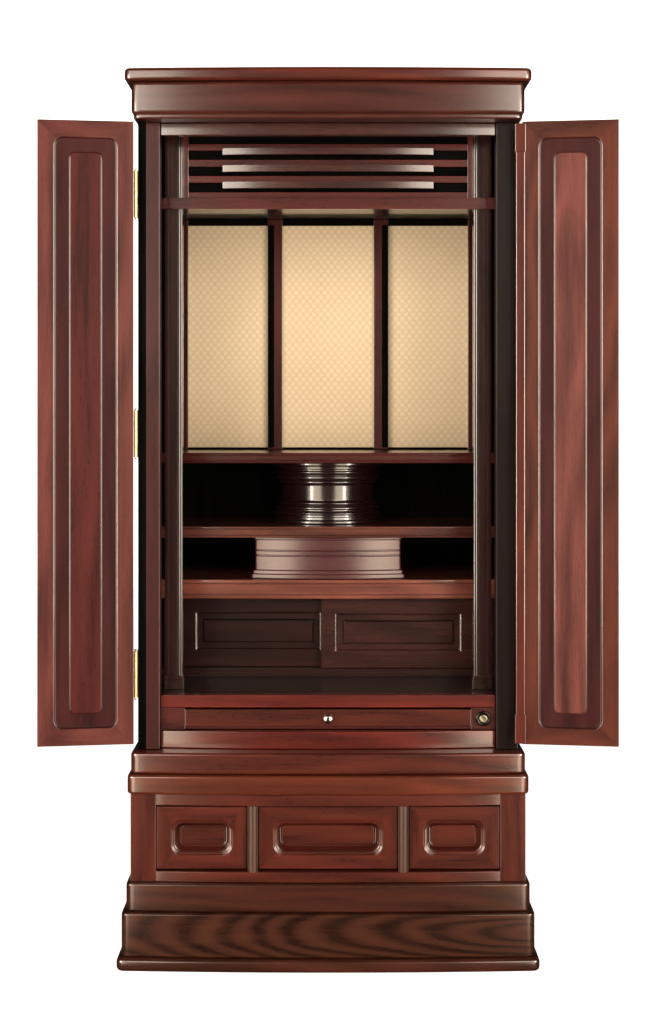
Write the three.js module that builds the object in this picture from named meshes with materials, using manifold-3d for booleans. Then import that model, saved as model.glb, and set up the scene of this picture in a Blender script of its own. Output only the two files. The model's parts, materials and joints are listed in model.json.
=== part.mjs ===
// Household altar cabinet: an upper cabinet with two pairs of folding doors, standing on a lower cabinet
// with three drawers. Millimetres, +Z up, front towards -Y. Depths below are measured backwards from the
// front of the two posts, and the whole model is then centred on the middle of its depth.

import * as THREE from 'three';
import { mergeVertices } from 'three/addons/utils/BufferGeometryUtils.js';
import Module from 'manifold-3d';

const wasm = await Module();
wasm.setup();

// ---------------------------------------------------------------- driving dimensions

const gap = 0.3; // left between pieces that touch
const backDepth = 420; // the flat back of both cabinets
const frontDepth = -60; // the foremost point, on the base plate
const depthCentre = (backDepth + frontDepth) / 2;

// bowed boards, from the floor up: half width, depth of the bowed front at its middle, bow, bottom, top
const layers = {
  base_plate: { half: 305.5, front: -60, bow: 9, bottom: 0, top: 18.6, round: 5 },
  plinth_lower: { half: 299.2, front: -50, bow: 8, bottom: 18.6, top: 81.8, round: 3 },
  plinth_upper: { half: 293.3, front: -41, bow: 8, bottom: 81.8, top: 122.4, round: 3 },
  lower_top: { half: 291.8, front: -39, bow: 8, bottom: 250.6, top: 278.7, round: 4 },
  upper_base: { half: 287.5, front: -31, bow: 8, bottom: 278.7, top: 310, round: 4 },
  frieze: { half: 285.3, front: -44, bow: 6, bottom: 1236.2, top: 1284, round: 3 },
  top_board: { half: 294.8, front: -52, bow: 9, bottom: 1284, top: 1302.8, round: 5 },
};
const cornerRadius = 12;

const lower = { half: 287.3, wall: 15, front: -24, bottom: 122.4, top: 250.6 };
const face = { thick: 10, low: 137.6, high: 233.4, half: 250.2, railBow: 8 };
const mullion = { inner: 101.6, outer: 117.2, radius: 7.8 };
const drawer = { front: -20, thick: 24, low: 140, high: 230.6, wall: 8, floor: 4, back: 380, boxHigh: 212 };
const drawerSpans = {
  drawer_left: [-249, -118.6], drawer_centre: [-100.2, 100.2], drawer_right: [118.6, 249],
};
const dish = {
  lip: 4.8, lipDepth: 2.5, depth: 18, height: 42.2, marginX: 25.6, slope: 6, radius: 12, z: 185.5,
};
const divider = { inner: 103.4, outer: 115.4 };

const upper = { half: 278.9, inner: 262, bottom: 310, top: 1230.2, backThick: 12 };
const post = { inner: 247, depth: 30, crown: 5 };
const lintel = { low: 1211.9, front: 1, bow: 7, thick: 16 };
const bead = { half: 282.5, front: -40, bottom: 1230.2, round: 2.4 };
const header = { front: 57, thick: 5.7, low: 1109.4, high: 1126.7 };
const ceiling = { low: 1129.7, high: 1137.7 };
const pillar = {
  inner: 218.9, outer: 245.2, front: 63, depth: 22, footHigh: 402.7, collarHigh: 409, proud: 1.6,
};
const transom = { half: 218.5, front: 66, proud: 9, board: 6, high: 1229.9, side: 8.4 };
const transomRails = [[1127.1, 1135.7], [1150.2, 1160.2], [1174.1, 1184.6], [1198.6, 1208.2]];
const slat = { half: 158, thick: 8, bow: 8, height: 10.6, lows: [1140.3, 1165.2, 1190.8] };

const frontRail = { front: 12, thick: 20, low: 369.4, high: 388 };
const altarFloor = { low: 372, high: 388 };
const tray = { half: 210.9, front: 14, thick: 12, low: 341.6, high: 366.2, back: 300, wall: 7, floor: 4 };
const trayFrame = { half: 246.7, low: 336.6, bed: 4.2, front: 20, back: 330, high: 368.8 };
const trayKnob = { z: 353, radius: 6.7, reach: 11 };
const switchKnob = { x: 229, z: 353, radius: 11.2, inner: 6.3, reach: 5 };
const bowedRail = { low: 310, high: 335.6, front: 1, bow: 13, thick: 20 };

const track = { front: 187, step: 3, back: 231, lipHigh: 393.4, high: 400.6 };
const slideDoor = { low: 401, high: 512.6, half: 261.4, overlap: 10.7, thick: 14 };
const slideFronts = { right: 195, left: 213 };
const slidePanel = {
  near: 12.8, far: 208.5, low: 428.8, high: 486, margin: 13, sunk: 5, slope: 1.5, field: 1.2,
};
const shelves = {
  shelf_lower: { front: 165, bow: 9, low: 513.2, high: 543.4 },
  shelf_middle: { front: 168, bow: 8, low: 608.2, high: 626.5 },
  shelf_upper: { front: 185, bow: 6, low: 724.3, high: 741.4 },
};
const stepPedestal = { half: 115, front: 176, back: 300, bow: 24, low: 543.7, high: 607.9 };
const stepRings = [[6, 6.5], [3.5, 12.5], [0, 34.5], [-1, 36], [0, 42.5], [-1, 44], [0, 60.5], [2, 64.2]];
const drum = { low: 626.8, high: 724, depth: 305, sides: 24 };
const drumFoot = [ // height above its foot and radius, mirrored under its top
  [0, 96], [5, 96], [7, 88], [13, 87], [15, 90], [18, 90], [20, 83], [27, 85], [30, 81], [37, 76],
];
const backFrame = {
  front: 392, thick: 12, half: 236.2, far: 101.5, near: 77.3, low: 745, high: 1120, rib: 2.5, ribWidth: 10.4,
};
const cloth = { half: 256, thick: 3, low: 742, high: 1127 };

const hinge = { x: 282.5, radius: 2.6, length: 75, plate: 1.2, plateDepth: 15 };
const hingeLows = { bottom: 382.7, middle: 735.8, top: 1087.4 };
const leaf = { low: 321.5, high: 1228.2, thick: 19.5, clear: 0.5, edge: 3.4, foldGap: 0.5, meetGap: 0.4 };
const leafSpan = (hinge.x - leaf.meetGap + leaf.edge) / 2; // from the hinge line to the fold line
const leafWidth = leafSpan - leaf.foldGap - leaf.edge;
const carving = {
  outer: 24.5, rise: 33, inner: 47, depth: 5, level: 2.4, field: 0.8, radius: 12.5, innerRadius: 8.5,
};
const openAngle = 171.3; // how far each pair of doors swings from closed, in degrees
const astragal = { over: 10.5, on: 5.5, thick: 5.2, clear: 0.5, low: 323, high: 1225, end: 42, step: 1.4 };

// ---------------------------------------------------------------- materials

const finishes = {
  rosewood: { color: 0x6b3026, roughness: 0.32, metalness: 0 },
  darkWood: { color: 0x2a1613, roughness: 0.3, metalness: 0 },
  cloth: { color: 0xdcc08c, roughness: 0.75, metalness: 0 },
  brass: { color: 0xc89b4e, roughness: 0.3, metalness: 1 },
  steel: { color: 0x9a948c, roughness: 0.25, metalness: 1 },
};

const cabinet = new THREE.Group();
cabinet.position.y = -depthCentre;

function addPiece(name, geometry, finish = 'rosewood', parent = cabinet) {
  const mesh = new THREE.Mesh(geometry, new THREE.MeshStandardMaterial(finishes[finish]));
  mesh.name = name;
  parent.add(mesh);
  return mesh;
}

// ---------------------------------------------------------------- solids

function toSolid(geometry) {
  const bare = geometry.clone();
  bare.deleteAttribute('normal');
  bare.deleteAttribute('uv');
  const merged = mergeVertices(bare, 1e-4);
  return new wasm.Manifold(new wasm.Mesh({
    numProp: 3,
    vertProperties: new Float32Array(merged.attributes.position.array),
    triVerts: new Uint32Array(merged.index.array),
  }));
}

function toGeometry(solid) {
  const mesh = solid.getMesh();
  const geometry = new THREE.BufferGeometry();
  geometry.setAttribute('position', new THREE.BufferAttribute(mesh.vertProperties, 3));
  geometry.setIndex(new THREE.BufferAttribute(mesh.triVerts, 1));
  return geometry;
}

function join(...geometries) {
  return toGeometry(geometries.map(toSolid).reduce((all, next) => all.add(next)));
}

function cut(geometry, ...tools) {
  return toGeometry(tools.map(toSolid).reduce((all, next) => all.subtract(next), toSolid(geometry)));
}

function block(x0, x1, y0, y1, z0, z1) {
  const geometry = new THREE.BoxGeometry(x1 - x0, y1 - y0, z1 - z0);
  return geometry.translate((x0 + x1) / 2, (y0 + y1) / 2, (z0 + z1) / 2);
}

// The front edge of a bowed board, from the left end to the right one, bulging towards -Y by the bow.
function bowTo(shape, half, front, bow) {
  const radius = (half * half + bow * bow) / (2 * bow);
  const sweep = Math.asin(half / radius);
  shape.absarc(0, front + radius, radius, -Math.PI / 2 - sweep, -Math.PI / 2 + sweep, false);
}

function bowedPlan({ half, front, bow }, back, corner = 0) {
  const shape = new THREE.Shape();
  const end = front + bow;
  const inner = bow * (1 - corner / half) ** 2; // the bow left between the rounded corners
  shape.moveTo(half, back);
  shape.lineTo(-half, back);
  if (corner > 0) {
    shape.lineTo(-half, end + corner);
    shape.quadraticCurveTo(-half, end, -half + corner, front + inner);
  }
  bowTo(shape, half - corner, front, inner);
  if (corner > 0) shape.quadraticCurveTo(half, end, half, end + corner);
  return shape;
}

function raise(shape, low, high, round = 0, segments = 6) {
  const geometry = new THREE.ExtrudeGeometry(shape, {
    depth: high - low - 2 * round,
    bevelEnabled: round > 0,
    bevelThickness: round,
    bevelSize: round,
    bevelOffset: -round,
    bevelSegments: 1,
    curveSegments: segments,
  });
  return geometry.translate(0, 0, low + round);
}

function rectShape(x0, x1, z0, z1, radius = 0) {
  const shape = new THREE.Shape();
  if (radius === 0) {
    shape.moveTo(x0, z0).lineTo(x1, z0).lineTo(x1, z1).lineTo(x0, z1).closePath();
    return shape;
  }
  shape.absarc(x1 - radius, z0 + radius, radius, -Math.PI / 2, 0, false);
  shape.absarc(x1 - radius, z1 - radius, radius, 0, Math.PI / 2, false);
  shape.absarc(x0 + radius, z1 - radius, radius, Math.PI / 2, Math.PI, false);
  shape.absarc(x0 + radius, z0 + radius, radius, Math.PI, 1.5 * Math.PI, false);
  return shape;
}

// A shape drawn in X and Z, given thickness from a front depth to a back one.
function panel(shape, front, back, segments = 4) {
  const geometry = new THREE.ExtrudeGeometry(shape, {
    depth: back - front,
    bevelEnabled: false,
    curveSegments: segments,
  });
  return geometry.rotateX(Math.PI / 2).translate(0, back, 0);
}

// A plug that is widest over 1 mm at its middle and narrows by the slope towards both ends. Set at a front
// face it sinks a recess; set behind one it raises a field.
function plug(shape, depth, slope, steps = 1) {
  const geometry = new THREE.ExtrudeGeometry(shape, {
    depth: 1,
    bevelEnabled: true,
    bevelThickness: depth,
    bevelSize: slope,
    bevelOffset: -slope,
    bevelSegments: steps,
    curveSegments: 4,
  });
  return geometry.rotateX(Math.PI / 2);
}

function sinkAt(front, shape, depth, slope, steps) {
  return plug(shape, depth, slope, steps).translate(0, front, 0);
}

function raiseTo(front, shape, top, bottom, slope) {
  return plug(shape, bottom - top, slope).translate(0, front + bottom + 1, 0);
}

function roundPost(radius, low, high, x, y, sides = 16) {
  const geometry = new THREE.CylinderGeometry(radius, radius, high - low, sides);
  return geometry.rotateX(Math.PI / 2).translate(x, y, (low + high) / 2);
}

// A turned knob whose axis points forward; its profile gives radius and distance in front of the face.
function turnedKnob(profile, x, front, z, sides = 16) {
  const points = profile.map(([radius, reach]) => new THREE.Vector2(radius, reach));
  return new THREE.LatheGeometry(points, sides).rotateX(Math.PI).translate(x, front, z);
}

// A bar of even thickness bent to a bow, as a slat is.
function bentPlan(half, front, bow, thick) {
  const shape = new THREE.Shape();
  const radius = (half * half + bow * bow) / (2 * bow);
  const sweep = Math.asin(half / radius);
  bowTo(shape, half, front, bow);
  shape.lineTo(half, front + bow + thick);
  shape.absarc(0, front + thick + radius, radius, -Math.PI / 2 + sweep, -Math.PI / 2 - sweep, true);
  return shape;
}

// A block on one side of the middle, given by its distances from it; side is -1 left and 1 right.
function sideBlock(side, near, far, y0, y1, z0, z1) {
  return block(Math.min(side * near, side * far), Math.max(side * near, side * far), y0, y1, z0, z1);
}

const sides = { left: -1, right: 1 };

// ---------------------------------------------------------------- bowed boards of both cabinets

function buildLayers() {
  for (const [name, layer] of Object.entries(layers)) {
    const outline = bowedPlan(layer, backDepth, cornerRadius);
    const board = raise(outline, layer.bottom, layer.top - gap, layer.round);
    if (name === 'frieze') {
      const strip = { half: bead.half, front: bead.front, bow: layer.bow };
      const plan = bowedPlan(strip, backDepth, cornerRadius);
      addPiece(name, join(board, raise(plan, bead.bottom, layer.bottom + 2 * bead.round, bead.round)));
    } else {
      addPiece(name, board);
    }
  }
}

// ---------------------------------------------------------------- lower cabinet

function buildLowerCase() {
  const { half, wall, front, bottom } = lower;
  const top = lower.top - gap;
  const behind = front + face.thick + gap;
  const inside = half - wall - gap;
  addPiece('lower_case', join(
    block(-half, -half + wall, behind, backDepth, bottom, top),
    block(half - wall, half, behind, backDepth, bottom, top),
    block(-half, half, backDepth - upper.backThick, backDepth, bottom, top),
  ));
  const insideBack = backDepth - upper.backThick - gap;
  addPiece('lower_bottom', block(-inside, inside, behind, insideBack, bottom, face.low - gap));

  const faceBack = front + face.thick;
  const opening = (x0, x1) => block(x0, x1, front - 1, faceBack + 1, face.low, face.high);
  const rail = bowedPlan({ half: face.half, front: front - face.railBow, bow: face.railBow }, front + 2);
  const across = (mullion.inner + mullion.outer) / 2;
  addPiece('lower_face', join(
    cut(
      block(-half, half, front, faceBack, bottom, top),
      opening(-face.half, -mullion.outer),
      opening(-mullion.inner, mullion.inner),
      opening(mullion.outer, face.half),
    ),
    raise(rail, face.high, top),
    raise(rail, bottom, face.low),
    roundPost(mullion.radius, face.low, face.high, -across, front),
    roundPost(mullion.radius, face.low, face.high, across, front),
  ));

  for (const [word, side] of Object.entries(sides)) {
    addPiece(`lower_divider_${word}`,
      sideBlock(side, divider.inner, divider.outer, behind, insideBack, face.low, top));
  }
}

function openBox(x0, x1, y0, y1, z0, z1, wall, floor) {
  const inside = block(x0 + wall, x1 - wall, y0 + wall, y1 - wall, z0 + floor, z1 + 1);
  return cut(block(x0, x1, y0, y1, z0, z1), inside);
}

function buildDrawers() {
  const { front, thick, low, high } = drawer;
  for (const [name, [x0, x1]] of Object.entries(drawerSpans)) {
    const left = x0 + dish.marginX;
    const right = x1 - dish.marginX;
    const bottom = dish.z - dish.height / 2;
    const top = dish.z + dish.height / 2;
    const lip = rectShape(left - dish.lip, right + dish.lip, bottom - dish.lip, top + dish.lip,
      dish.radius + dish.lip);
    addPiece(`${name}_front`, cut(
      block(x0, x1, front, front + thick, low, high),
      sinkAt(front, lip, dish.lipDepth, dish.lip),
      sinkAt(front, rectShape(left, right, bottom, top, dish.radius), dish.depth, dish.slope, 2),
    ));
    addPiece(`${name}_box`, openBox(x0 + 4, x1 - 4, front + thick + gap, drawer.back, low + 1.5,
      drawer.boxHigh, drawer.wall, drawer.floor));
  }
}

// ---------------------------------------------------------------- upper cabinet

function buildUpperCase() {
  const { half, inner, bottom } = upper;
  const top = upper.top - gap;
  const behind = post.depth + gap;
  addPiece('upper_case', join(
    block(-half, -inner, behind, backDepth, bottom, top),
    block(inner, half, behind, backDepth, bottom, top),
    block(-half, half, backDepth - upper.backThick, backDepth, bottom, top),
  ));
  const postHalf = (half - post.inner) / 2;
  const postPlan = bowedPlan({ half: postHalf, front: 0, bow: post.crown }, post.depth);
  for (const [word, side] of Object.entries(sides)) {
    const upright = raise(postPlan, bottom, top, 0, 8);
    addPiece(`post_${word}`, upright.translate(side * (post.inner + postHalf), 0, 0));
  }
  const between = post.inner - gap;
  const bowedBoard = ({ front, bow, thick }) => bowedPlan({ half: between, front, bow }, front + thick);
  addPiece('lintel', raise(bowedBoard(lintel), lintel.low, top, 0, 12));
  addPiece('bowed_rail', raise(bowedBoard(bowedRail), bowedRail.low, bowedRail.high, 0, 12));
  const railBack = frontRail.front + frontRail.thick;
  addPiece('front_rail', block(-between, between, frontRail.front, railBack, frontRail.low, frontRail.high));

  const inside = inner - gap;
  const insideBack = backDepth - upper.backThick - gap;
  const across = (y0, y1, { low, high }) => block(-inside, inside, y0, y1, low, high);
  addPiece('altar_floor', across(railBack + gap, insideBack, altarFloor), 'darkWood');
  addPiece('header', across(header.front, header.front + header.thick, header));
  addPiece('ceiling', across(pillar.front + pillar.depth + gap, insideBack, ceiling), 'darkWood');
}

// A pillar's front, from its inner edge: two beads, then a shallow round face.
function pillarPlan(side) {
  const { inner, outer, front, depth } = pillar;
  const beadRadius = 1.6;
  const shape = new THREE.Shape();
  const at = (distance, y) => [side * distance, y];
  shape.moveTo(...at(inner, front + depth));
  for (const bead of [0, 1]) {
    const centre = inner + beadRadius * (2 * bead + 1);
    for (let step = 0; step <= 4; step += 1) {
      const angle = Math.PI * (step / 4);
      const x = centre - beadRadius * Math.cos(angle);
      shape.lineTo(...at(x, front + beadRadius - beadRadius * Math.sin(angle)));
    }
  }
  const from = inner + 4 * beadRadius;
  for (let step = 0; step <= 6; step += 1) {
    const part = step / 6;
    shape.lineTo(...at(from + (outer - from) * part, front + 3 * (2 * part - 1) ** 2));
  }
  shape.lineTo(...at(outer, front + depth));
  return shape;
}

function buildPillars() {
  const { inner, outer, front, depth, proud, footHigh, collarHigh } = pillar;
  const standsOn = altarFloor.high + gap;
  const back = front + depth;
  for (const [word, side] of Object.entries(sides)) {
    addPiece(`pillar_${word}`, join(
      raise(pillarPlan(side), standsOn, upper.top - gap),
      sideBlock(side, inner - proud / 2, outer + proud / 2, front - proud / 2, back, footHigh, collarHigh),
      sideBlock(side, inner - proud, outer + proud, front - proud, back, standsOn, footHigh),
    ));
  }
}

function buildTransom() {
  const { half, front, proud, board, high, side: sideWidth } = transom;
  const low = transomRails[0][0];
  const rails = transomRails.map(([z0, z1]) => block(-half, half, front, front + proud + 1, z0, z1));
  addPiece('transom', join(
    block(-half, half, front + proud, front + proud + board, low, high),
    block(-half, -half + sideWidth, front, front + proud + 1, low, high),
    block(half - sideWidth, half, front, front + proud + 1, low, high),
    ...rails,
  ));
  slat.lows.forEach((z, index) => {
    const foremost = front - gap - slat.thick - slat.bow;
    const plan = bentPlan(slat.half, foremost, slat.bow, slat.thick);
    addPiece(`transom_slat_${index + 1}`, raise(plan, z, z + slat.height, 0, 10));
  });
}

// ---------------------------------------------------------------- slide-out tray and switch

function buildTray() {
  const { half, front, thick, low, high, back, wall, floor } = tray;
  const { bed, half: outside } = trayFrame;
  addPiece('tray_front', block(-half, half, front, front + thick, low, high));
  const boxHalf = half - 7;
  addPiece('tray_box', openBox(-boxHalf, boxHalf, front + thick + gap, back, low + 1, high - 4, wall, floor));
  const knobProfile = [
    [0, gap], [4.2, gap], [3, 3], [3, 5],
    [trayKnob.radius, 7.5], [trayKnob.radius - 1.2, 10], [0, trayKnob.reach],
  ];
  addPiece('tray_knob', turnedKnob(knobProfile, 0, front, trayKnob.z), 'steel');
  const endBlocks = Object.values(sides).map((side) => (
    sideBlock(side, half + 0.7, outside, front, trayFrame.back, trayFrame.low, trayFrame.high)
  ));
  addPiece('tray_frame', join(
    block(-outside, outside, trayFrame.front, trayFrame.back, trayFrame.low, trayFrame.low + bed),
    ...endBlocks,
  ));
  const { x, z, radius, inner, reach } = switchKnob;
  const switchProfile = [
    [0, gap], [radius, gap], [radius, 2], [radius - 2, 3.2],
    [inner + 0.8, 2.4], [inner, reach - 0.6], [inner - 1.4, reach], [0, reach],
  ];
  addPiece('switch_knob', turnedKnob(switchProfile, x, front, z), 'steel');
}

// ---------------------------------------------------------------- altar: sliding doors, shelves, back

function buildSlidingDoors() {
  const inside = upper.inner - gap;
  addPiece('track', join(
    block(-inside, inside, track.front, track.back, altarFloor.high + gap, track.lipHigh),
    block(-inside, inside, track.front + track.step, track.back, altarFloor.high + gap, track.high),
  ));
  const { low, high, half, overlap, thick } = slideDoor;
  const { near, far, margin, sunk, slope } = slidePanel;
  for (const [word, side] of Object.entries(sides)) {
    const front = slideFronts[word];
    const x0 = Math.min(side * near, side * far);
    const x1 = Math.max(side * near, side * far);
    const inset = (edge) => (
      rectShape(x0 + edge, x1 - edge, slidePanel.low + edge, slidePanel.high - edge)
    );
    const board = sideBlock(side, -overlap, half, front, front + thick, low, high);
    addPiece(`slide_door_${word}`, join(
      cut(board, sinkAt(front, inset(0), sunk, slope)),
      raiseTo(front, inset(margin / 2), slidePanel.field, sunk, margin / 2),
    ));
  }
}

function buildShelves() {
  const half = upper.inner - gap;
  const back = backDepth - upper.backThick - gap;
  for (const [name, { front, bow, low, high }] of Object.entries(shelves)) {
    const height = high - gap - low;
    const plan = bowedPlan({ half, front, bow }, back);
    const recessed = bowedPlan({ half, front: front + 1.5, bow }, back);
    const isLower = name === 'shelf_lower';
    const groove = isLower ? [low + height * 0.22, low + height * 0.28] : [high - 4.5, high - 3.5];
    addPiece(name, join(
      raise(plan, low, groove[0]),
      raise(recessed, groove[0] - 0.5, groove[1] + 0.5),
      raise(plan, groove[1], high - gap),
    ));
  }
}

function buildPedestals() {
  const { half, front, back, bow, low } = stepPedestal;
  let under = 0;
  const rings = stepRings.map(([extra, height]) => {
    const plan = bowedPlan({ half: half + extra, front: front - extra, bow }, back);
    const ring = raise(plan, low + under, low + height);
    under = height;
    return ring;
  });
  addPiece('pedestal_lower', join(...rings));

  const rising = drumFoot.map(([height, radius]) => [radius, drum.low + height]);
  const falling = drumFoot.map(([height, radius]) => [radius, drum.high - height]).reverse();
  const outline = [[0, drum.low], ...rising, ...falling, [0, drum.high]];
  const profile = outline.map(([x, y]) => new THREE.Vector2(x, y));
  const turned = new THREE.LatheGeometry(profile, drum.sides).rotateX(Math.PI / 2);
  addPiece('pedestal_upper', turned.translate(0, drum.depth, 0));
}

function buildAltarBack() {
  const { front, thick, half, far, near, low, high, rib } = backFrame;
  const inside = upper.inner - gap;
  const back = front + thick;
  const opening = (x0, x1) => block(x0, x1, front - 1, back + 1, low, high);
  const board = block(-inside, inside, front, back, cloth.low, ceiling.low - gap);
  const ribs = Object.values(sides).map((side) => (
    sideBlock(side, far - backFrame.ribWidth, far, front - rib, front + 1, low, high)
  ));
  addPiece('back_frame', join(
    cut(board, opening(-half, -far), opening(-near, near), opening(far, half)),
    ...ribs,
  ));
  const behind = back + gap;
  const covered = block(-cloth.half, cloth.half, behind, behind + cloth.thick, cloth.low, cloth.high);
  addPiece('back_panel', covered, 'cloth');
}

// ---------------------------------------------------------------- folding doors

// One leaf, closed, reaching from its hinge line at the origin towards the middle of the cabinet.
function leafPanel(inward, edge) {
  const near = Math.min(inward * edge, inward * (edge + leafWidth));
  const far = Math.max(inward * edge, inward * (edge + leafWidth));
  const face = -leaf.thick - leaf.clear;
  const { low, high, clear } = leaf;
  const inset = (margin, corner) => (
    rectShape(near + margin, far - margin, low + margin, high - margin, corner)
  );
  const { outer, rise, inner, depth, level, field, radius, innerRadius } = carving;
  const fall = inner - rise;
  return join(
    cut(block(near, far, face, -clear, low, high), sinkAt(face, inset(outer, radius), depth, 6)),
    raiseTo(face, inset(rise, innerRadius + fall), level, depth, fall),
    panel(inset(inner + 1.6, innerRadius - 1.6), face + field, face + depth + 1),
  );
}

function buildDoors() {
  for (const [word, side] of Object.entries(sides)) {
    const inward = -side;
    const outerLeaf = new THREE.Group();
    outerLeaf.position.x = side * hinge.x;
    outerLeaf.rotation.z = side * THREE.MathUtils.degToRad(openAngle);
    cabinet.add(outerLeaf);
    const innerLeaf = new THREE.Group();
    innerLeaf.position.x = inward * leafSpan;
    innerLeaf.rotation.z = inward * Math.PI;
    outerLeaf.add(innerLeaf);
    addPiece(`door_${word}_outer`, leafPanel(inward, leaf.edge), 'rosewood', outerLeaf);
    addPiece(`door_${word}_inner`, leafPanel(inward, leaf.foldGap), 'rosewood', innerLeaf);
    if (word === 'right') addAstragal(innerLeaf);
    for (const [height, low] of Object.entries(hingeLows)) {
      const top = low + hinge.length;
      const near = upper.half + gap;
      addPiece(`hinge_${word}_${height}`, join(
        roundPost(hinge.radius, low, top, side * hinge.x, 0, 10),
        sideBlock(side, near, near + hinge.plate, 0, hinge.plateDepth, low, top),
      ), 'brass');
    }
  }
}

// The strip on the right pair's meeting edge, which laps over the left pair when both are closed.
function addAstragal(parent) {
  const meeting = leaf.foldGap + leafWidth;
  const { over, on, thick, clear, low, high, end, step } = astragal;
  const back = -leaf.thick - leaf.clear - clear;
  const strip = (inset, z0, z1) => (
    sideBlock(-1, meeting - on + inset, meeting + over - inset, back - thick, back, z0, z1)
  );
  addPiece('astragal', join(strip(step, low, high), strip(0, low, low + end), strip(0, high - end, high)),
    'rosewood', parent);
}

buildLayers();
buildLowerCase();
buildDrawers();
buildUpperCase();
buildPillars();
buildTransom();
buildTray();
buildSlidingDoors();
buildShelves();
buildPedestals();
buildAltarBack();
buildDoors();

export default cabinet;
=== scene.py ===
import json
import math
import bmesh
import bpy
from mathutils import Matrix, Vector

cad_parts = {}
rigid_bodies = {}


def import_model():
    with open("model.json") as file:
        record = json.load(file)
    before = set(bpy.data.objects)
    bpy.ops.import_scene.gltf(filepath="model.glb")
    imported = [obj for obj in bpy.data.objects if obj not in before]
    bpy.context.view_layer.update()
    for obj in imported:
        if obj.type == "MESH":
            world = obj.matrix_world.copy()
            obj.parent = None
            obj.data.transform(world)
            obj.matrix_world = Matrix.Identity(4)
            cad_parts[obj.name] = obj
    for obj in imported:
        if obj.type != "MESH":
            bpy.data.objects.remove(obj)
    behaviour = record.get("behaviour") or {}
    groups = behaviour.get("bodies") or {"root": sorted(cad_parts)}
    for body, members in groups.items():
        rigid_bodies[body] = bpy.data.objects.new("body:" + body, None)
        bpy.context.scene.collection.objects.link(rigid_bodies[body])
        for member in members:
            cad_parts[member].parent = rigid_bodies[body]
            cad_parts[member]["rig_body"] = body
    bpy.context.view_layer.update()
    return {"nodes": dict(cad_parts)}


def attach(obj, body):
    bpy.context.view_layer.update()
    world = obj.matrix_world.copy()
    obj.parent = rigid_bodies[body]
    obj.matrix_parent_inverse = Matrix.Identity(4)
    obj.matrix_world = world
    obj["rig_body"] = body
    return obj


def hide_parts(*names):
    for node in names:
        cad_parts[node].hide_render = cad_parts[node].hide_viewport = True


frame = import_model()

# Sizes are in millimetres: x from the middle, y back from the front of the posts, z up from the floor.
nodes = frame["nodes"]
postFront = -0.18  # where y = 0 lies in the row frame, in metres
toFrame = Matrix.Translation((0, postFront, 0)) @ Matrix.Scale(0.001, 4)
backDepth = 420
seam = 0.3  # the gap between one board and the next
slip = 0.1  # the gap between two parts of one piece
weld = 0.01  # points nearer than this are one
sides = {"left": -1, "right": 1}

# Camera: its place is in metres and its lens in millimetres

camera = {"x": 0.0, "y": -2.78, "z": 0.8081, "lens": 62.3, "shiftX": -0.002, "shiftY": -0.0996}


def addCamera():
    data = bpy.data.cameras.new("view")
    data.lens = camera["lens"]
    data.sensor_width = 36
    data.shift_x = camera["shiftX"]
    data.shift_y = camera["shiftY"]
    data.clip_end = 50
    eye = bpy.data.objects.new("view", data)
    eye.location = (camera["x"], camera["y"], camera["z"])
    eye.rotation_euler = (math.pi / 2, 0, 0)
    bpy.context.scene.collection.objects.link(eye)
    bpy.context.scene.camera = eye


addCamera()
bpy.context.scene.view_settings.view_transform = "Standard"
print("camera set")

# Materials


def newTree(name):
    material = bpy.data.materials.new(name)
    material.use_nodes = True
    tree = material.node_tree
    tree.nodes.clear()
    output = tree.nodes.new("ShaderNodeOutputMaterial")
    shader = tree.nodes.new("ShaderNodeBsdfPrincipled")
    tree.links.new(shader.outputs[0], output.inputs[0])
    return material, tree, shader


def addNode(tree, kind, inputs=None, **settings):
    node = tree.nodes.new("ShaderNode" + kind)
    for key, value in settings.items():
        setattr(node, key, value)
    for key, value in (inputs or {}).items():
        if isinstance(value, bpy.types.NodeSocket):
            tree.links.new(value, node.inputs[key])
        else:
            node.inputs[key].default_value = value
    return node


def calc(tree, operation, a, b=0.0, c=0.0):
    return addNode(tree, "Math", {0: a, 1: b, 2: c}, operation=operation).outputs[0]


def ramp(tree, fac, stops):
    node = addNode(tree, "ValToRGB", {"Fac": fac})
    elements = node.color_ramp.elements
    while len(elements) < len(stops):
        elements.new(0.5)
    for element, (position, colour) in zip(elements, stops):
        element.position = position
        element.color = (*colour, 1)
    return node.outputs["Color"]


def mixColour(tree, fac, a, b, blend="MIX"):
    node = addNode(tree, "Mix", data_type="RGBA", blend_type=blend)
    for socket, value in ((node.inputs[0], fac), (node.inputs[6], a), (node.inputs[7], b)):
        if isinstance(value, bpy.types.NodeSocket):
            tree.links.new(value, socket)
        else:
            socket.default_value = (*value, 1) if isinstance(value, tuple) else value
    return node.outputs[2]


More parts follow.
